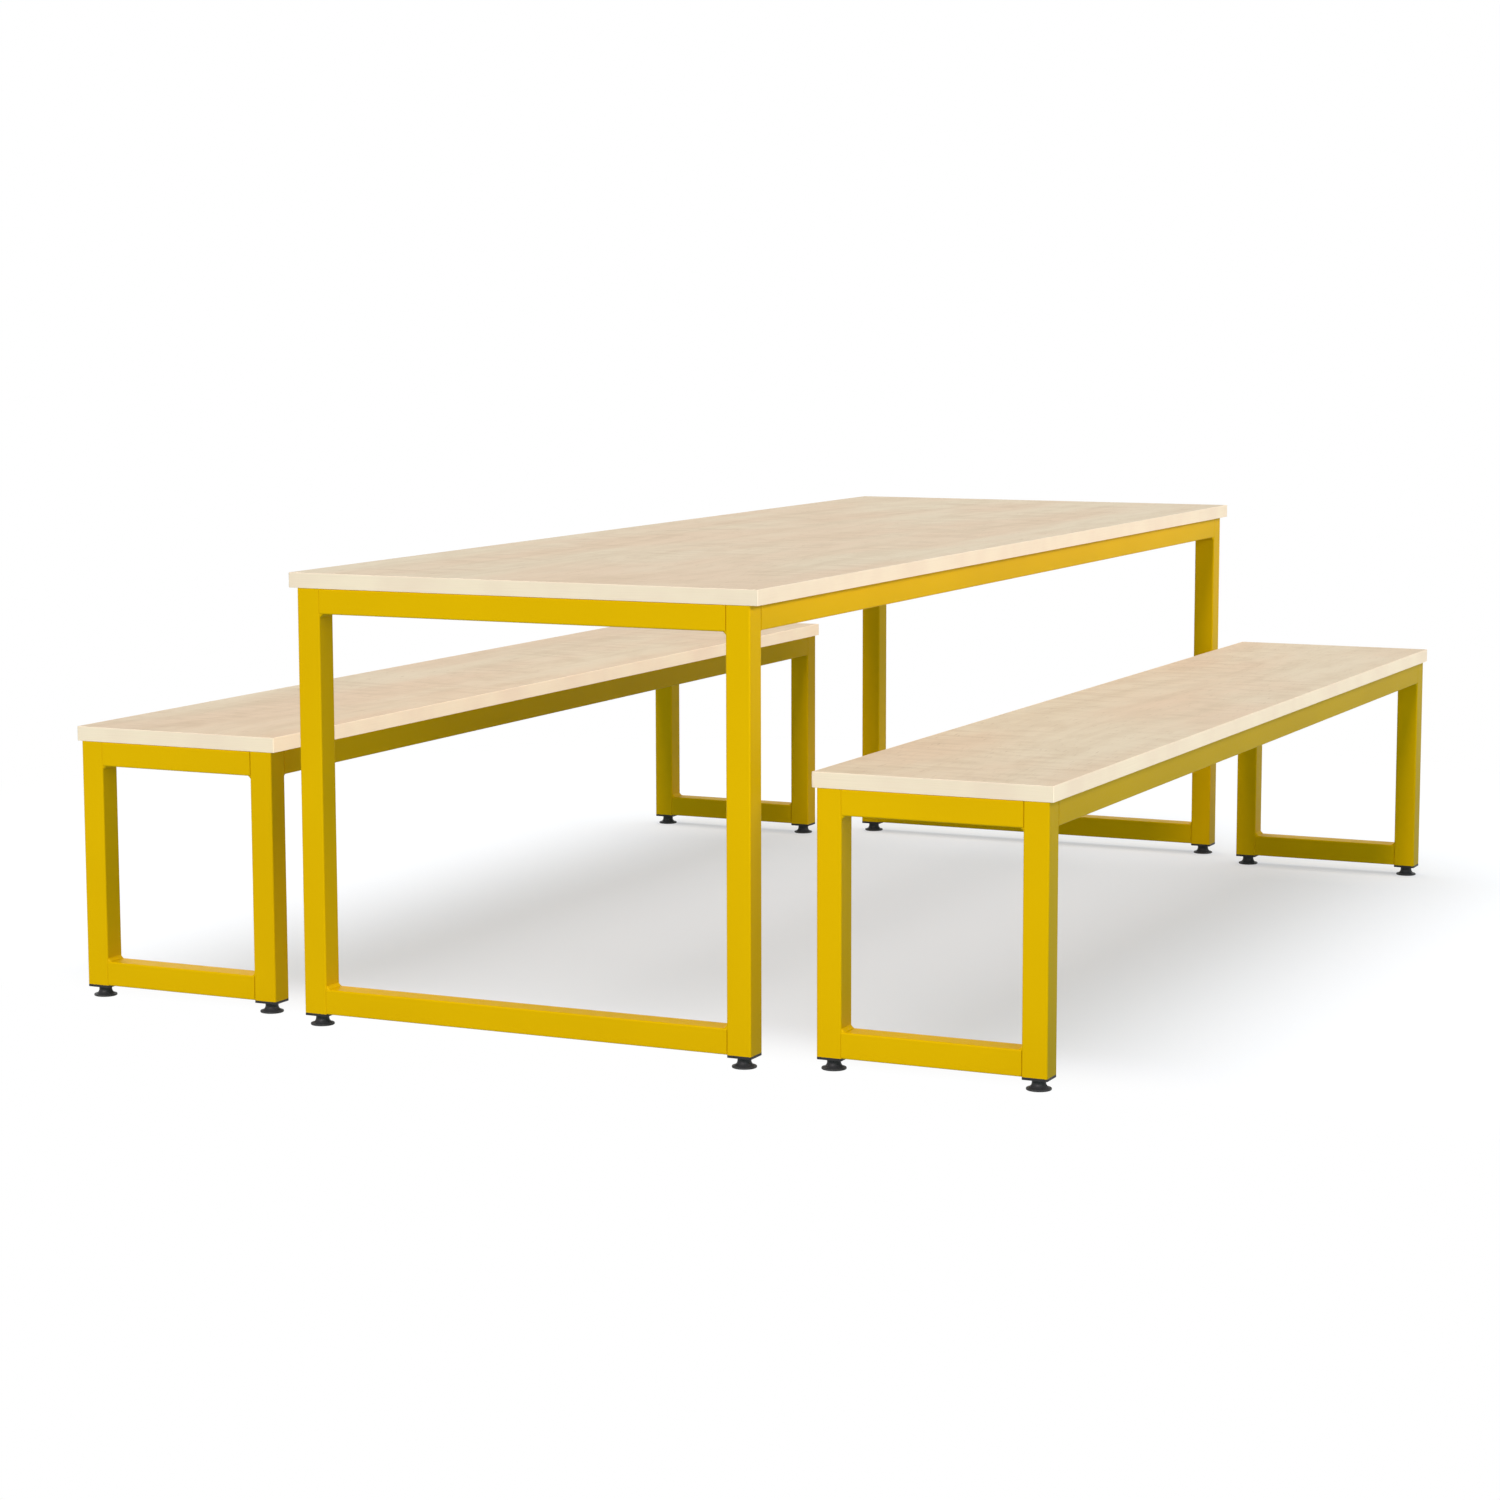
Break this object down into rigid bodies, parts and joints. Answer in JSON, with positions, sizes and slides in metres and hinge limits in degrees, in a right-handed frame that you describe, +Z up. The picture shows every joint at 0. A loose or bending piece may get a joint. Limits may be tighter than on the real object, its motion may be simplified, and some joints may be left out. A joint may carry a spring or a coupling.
{
  "type": "dining table with benches",
  "caption": "Long dining table with matching benches that push in under it: faced wood-print boards on welded square-tube hoop frames in yellow, standing on screw-in levelling feet.",
  "frame": {"origin": "on the floor under the middle of the table", "axes": "+X along the table's length away from the pictured near end, +Y to the left bench, +Z up"},
  "size_m": [2.26, 1.7, 0.72],
  "materials": {
    "board_face": "pale maple-print melamine face, satin",
    "edge_band": "cream wood-print edge band, satin",
    "frame_paint": "yellow powder coat, satin",
    "insert_plastic": "black moulded plastic",
    "foot_plastic": "black moulded plastic",
    "plated_steel": "zinc-plated thread"
  },
  "bodies": {
    "table": {"table_top_board": "board_face", "table_edge_bands": "edge_band", "table_leg_near_left": "frame_paint", "table_leg_near_right": "frame_paint", "table_leg_far_left": "frame_paint", "table_leg_far_right": "frame_paint", "table_long_rail_left": "frame_paint", "table_long_rail_right": "frame_paint", "table_top_cross_rails": "frame_paint", "table_foot_rails": "frame_paint", "table_leg_inserts": "insert_plastic", "table_top_screws": "plated_steel"},
    "table_foot_stud_near_left": {"table_foot_stud_near_left": "plated_steel"},
    "table_foot_base_near_left": {"table_foot_base_near_left": "foot_plastic"},
    "table_foot_stud_near_right": {"table_foot_stud_near_right": "plated_steel"},
    "table_foot_base_near_right": {"table_foot_base_near_right": "foot_plastic"},
    "table_foot_stud_far_left": {"table_foot_stud_far_left": "plated_steel"},
    "table_foot_base_far_left": {"table_foot_base_far_left": "foot_plastic"},
    "table_foot_stud_far_right": {"table_foot_stud_far_right": "plated_steel"},
    "table_foot_base_far_right": {"table_foot_base_far_right": "foot_plastic"},
    "bench_left": {"bench_left_top_board": "board_face", "bench_left_edge_bands": "edge_band", "bench_left_leg_near_left": "frame_paint", "bench_left_leg_near_right": "frame_paint", "bench_left_leg_far_left": "frame_paint", "bench_left_leg_far_right": "frame_paint", "bench_left_long_rail_left": "frame_paint", "bench_left_long_rail_right": "frame_paint", "bench_left_top_cross_rails": "frame_paint", "bench_left_foot_rails": "frame_paint", "bench_left_leg_inserts": "insert_plastic", "bench_left_top_screws": "plated_steel"},
    "bench_left_foot_stud_near_left": {"bench_left_foot_stud_near_left": "plated_steel"},
    "bench_left_foot_base_near_left": {"bench_left_foot_base_near_left": "foot_plastic"},
    "bench_left_foot_stud_near_right": {"bench_left_foot_stud_near_right": "plated_steel"},
    "bench_left_foot_base_near_right": {"bench_left_foot_base_near_right": "foot_plastic"},
    "bench_left_foot_stud_far_left": {"bench_left_foot_stud_far_left": "plated_steel"},
    "bench_left_foot_base_far_left": {"bench_left_foot_base_far_left": "foot_plastic"},
    "bench_left_foot_stud_far_right": {"bench_left_foot_stud_far_right": "plated_steel"},
    "bench_left_foot_base_far_right": {"bench_left_foot_base_far_right": "foot_plastic"},
    "bench_right": {"bench_right_top_board": "board_face", "bench_right_edge_bands": "edge_band", "bench_right_leg_near_left": "frame_paint", "bench_right_leg_near_right": "frame_paint", "bench_right_leg_far_left": "frame_paint", "bench_right_leg_far_right": "frame_paint", "bench_right_long_rail_left": "frame_paint", "bench_right_long_rail_right": "frame_paint", "bench_right_top_cross_rails": "frame_paint", "bench_right_foot_rails": "frame_paint", "bench_right_leg_inserts": "insert_plastic", "bench_right_top_screws": "plated_steel"},
    "bench_right_foot_stud_near_left": {"bench_right_foot_stud_near_left": "plated_steel"},
    "bench_right_foot_base_near_left": {"bench_right_foot_base_near_left": "foot_plastic"},
    "bench_right_foot_stud_near_right": {"bench_right_foot_stud_near_right": "plated_steel"},
    "bench_right_foot_base_near_right": {"bench_right_foot_base_near_right": "foot_plastic"},
    "bench_right_foot_stud_far_left": {"bench_right_foot_stud_far_left": "plated_steel"},
    "bench_right_foot_base_far_left": {"bench_right_foot_base_far_left": "foot_plastic"},
    "bench_right_foot_stud_far_right": {"bench_right_foot_stud_far_right": "plated_steel"},
    "bench_right_foot_base_far_right": {"bench_right_foot_base_far_right": "foot_plastic"}
  },
  "joints": [
    {"name": "table_level_near_left", "type": "slide", "parent": "table", "child": "table_foot_stud_near_left", "axis": [0, 0, -1], "range_m": [0, 0.015]},
    {"name": "table_turn_near_left", "type": "hinge", "parent": "table_foot_stud_near_left", "child": "table_foot_base_near_left", "pos_m": [-1.108, 0.371, 0], "axis": [0, 0, -1], "range_deg": [0, 3600]},
    {"name": "table_level_near_right", "type": "slide", "parent": "table", "child": "table_foot_stud_near_right", "axis": [0, 0, -1], "range_m": [0, 0.015]},
    {"name": "table_turn_near_right", "type": "hinge", "parent": "table_foot_stud_near_right", "child": "table_foot_base_near_right", "pos_m": [-1.108, -0.371, 0], "axis": [0, 0, -1], "range_deg": [0, 3600]},
    {"name": "table_level_far_left", "type": "slide", "parent": "table", "child": "table_foot_stud_far_left", "axis": [0, 0, -1], "range_m": [0, 0.015]},
    {"name": "table_turn_far_left", "type": "hinge", "parent": "table_foot_stud_far_left", "child": "table_foot_base_far_left", "pos_m": [1.108, 0.371, 0], "axis": [0, 0, -1], "range_deg": [0, 3600]},
    {"name": "table_level_far_right", "type": "slide", "parent": "table", "child": "table_foot_stud_far_right", "axis": [0, 0, -1], "range_m": [0, 0.015]},
    {"name": "table_turn_far_right", "type": "hinge", "parent": "table_foot_stud_far_right", "child": "table_foot_base_far_right", "pos_m": [1.108, -0.371, 0], "axis": [0, 0, -1], "range_deg": [0, 3600]},
    {"name": "bench_left_level_near_left", "type": "slide", "parent": "bench_left", "child": "bench_left_foot_stud_near_left", "axis": [0, 0, -1], "range_m": [0, 0.015]},
    {"name": "bench_left_turn_near_left", "type": "hinge", "parent": "bench_left_foot_stud_near_left", "child": "bench_left_foot_base_near_left", "pos_m": [-1.061, 0.823, 0], "axis": [0, 0, -1], "range_deg": [0, 3600]},
    {"name": "bench_left_level_near_right", "type": "slide", "parent": "bench_left", "child": "bench_left_foot_stud_near_right", "axis": [0, 0, -1], "range_m": [0, 0.015]},
    {"name": "bench_left_turn_near_right", "type": "hinge", "parent": "bench_left_foot_stud_near_right", "child": "bench_left_foot_base_near_right", "pos_m": [-1.061, 0.497, 0], "axis": [0, 0, -1], "range_deg": [0, 3600]},
    {"name": "bench_left_level_far_left", "type": "slide", "parent": "bench_left", "child": "bench_left_foot_stud_far_left", "axis": [0, 0, -1], "range_m": [0, 0.015]},
    {"name": "bench_left_turn_far_left", "type": "hinge", "parent": "bench_left_foot_stud_far_left", "child": "bench_left_foot_base_far_left", "pos_m": [1.015, 0.823, 0], "axis": [0, 0, -1], "range_deg": [0, 3600]},
    {"name": "bench_left_level_far_right", "type": "slide", "parent": "bench_left", "child": "bench_left_foot_stud_far_right", "axis": [0, 0, -1], "range_m": [0, 0.015]},
    {"name": "bench_left_turn_far_right", "type": "hinge", "parent": "bench_left_foot_stud_far_right", "child": "bench_left_foot_base_far_right", "pos_m": [1.015, 0.497, 0], "axis": [0, 0, -1], "range_deg": [0, 3600]},
    {"name": "bench_right_level_near_left", "type": "slide", "parent": "bench_right", "child": "bench_right_foot_stud_near_left", "axis": [0, 0, -1], "range_m": [0, 0.015]},
    {"name": "bench_right_turn_near_left", "type": "hinge", "parent": "bench_right_foot_stud_near_left", "child": "bench_right_foot_base_near_left", "pos_m": [-1.061, -0.497, 0], "axis": [0, 0, -1], "range_deg": [0, 3600]},
    {"name": "bench_right_level_near_right", "type": "slide", "parent": "bench_right", "child": "bench_right_foot_stud_near_right", "axis": [0, 0, -1], "range_m": [0, 0.015]},
    {"name": "bench_right_turn_near_right", "type": "hinge", "parent": "bench_right_foot_stud_near_right", "child": "bench_right_foot_base_near_right", "pos_m": [-1.061, -0.823, 0], "axis": [0, 0, -1], "range_deg": [0, 3600]},
    {"name": "bench_right_level_far_left", "type": "slide", "parent": "bench_right", "child": "bench_right_foot_stud_far_left", "axis": [0, 0, -1], "range_m": [0, 0.015]},
    {"name": "bench_right_turn_far_left", "type": "hinge", "parent": "bench_right_foot_stud_far_left", "child": "bench_right_foot_base_far_left", "pos_m": [1.015, -0.497, 0], "axis": [0, 0, -1], "range_deg": [0, 3600]},
    {"name": "bench_right_level_far_right", "type": "slide", "parent": "bench_right", "child": "bench_right_foot_stud_far_right", "axis": [0, 0, -1], "range_m": [0, 0.015]},
    {"name": "bench_right_turn_far_right", "type": "hinge", "parent": "bench_right_foot_stud_far_right", "child": "bench_right_foot_base_far_right", "pos_m": [1.015, -0.823, 0], "axis": [0, 0, -1], "range_deg": [0, 3600]},
    {"name": "bench_left_push_in", "type": "slide", "parent": "table", "child": "bench_left", "axis": [0, -1, 0], "range_m": [-0.3, 0.465]},
    {"name": "bench_right_push_in", "type": "slide", "parent": "table", "child": "bench_right", "axis": [0, 1, 0], "range_m": [-0.3, 0.465]}
  ],
  "couplings": [
    {"joint": "table_turn_near_left", "follows": "table_level_near_left", "rad_per_m": 4188.8},
    {"joint": "table_turn_near_right", "follows": "table_level_near_right", "rad_per_m": 4188.8},
    {"joint": "table_turn_far_left", "follows": "table_level_far_left", "rad_per_m": 4188.8},
    {"joint": "table_turn_far_right", "follows": "table_level_far_right", "rad_per_m": 4188.8},
    {"joint": "bench_left_turn_near_left", "follows": "bench_left_level_near_left", "rad_per_m": 4188.8},
    {"joint": "bench_left_turn_near_right", "follows": "bench_left_level_near_right", "rad_per_m": 4188.8},
    {"joint": "bench_left_turn_far_left", "follows": "bench_left_level_far_left", "rad_per_m": 4188.8},
    {"joint": "bench_left_turn_far_right", "follows": "bench_left_level_far_right", "rad_per_m": 4188.8},
    {"joint": "bench_right_turn_near_left", "follows": "bench_right_level_near_left", "rad_per_m": 4188.8},
    {"joint": "bench_right_turn_near_right", "follows": "bench_right_level_near_right", "rad_per_m": 4188.8},
    {"joint": "bench_right_turn_far_left", "follows": "bench_right_level_far_left", "rad_per_m": 4188.8},
    {"joint": "bench_right_turn_far_right", "follows": "bench_right_level_far_right", "rad_per_m": 4188.8}
  ]
}
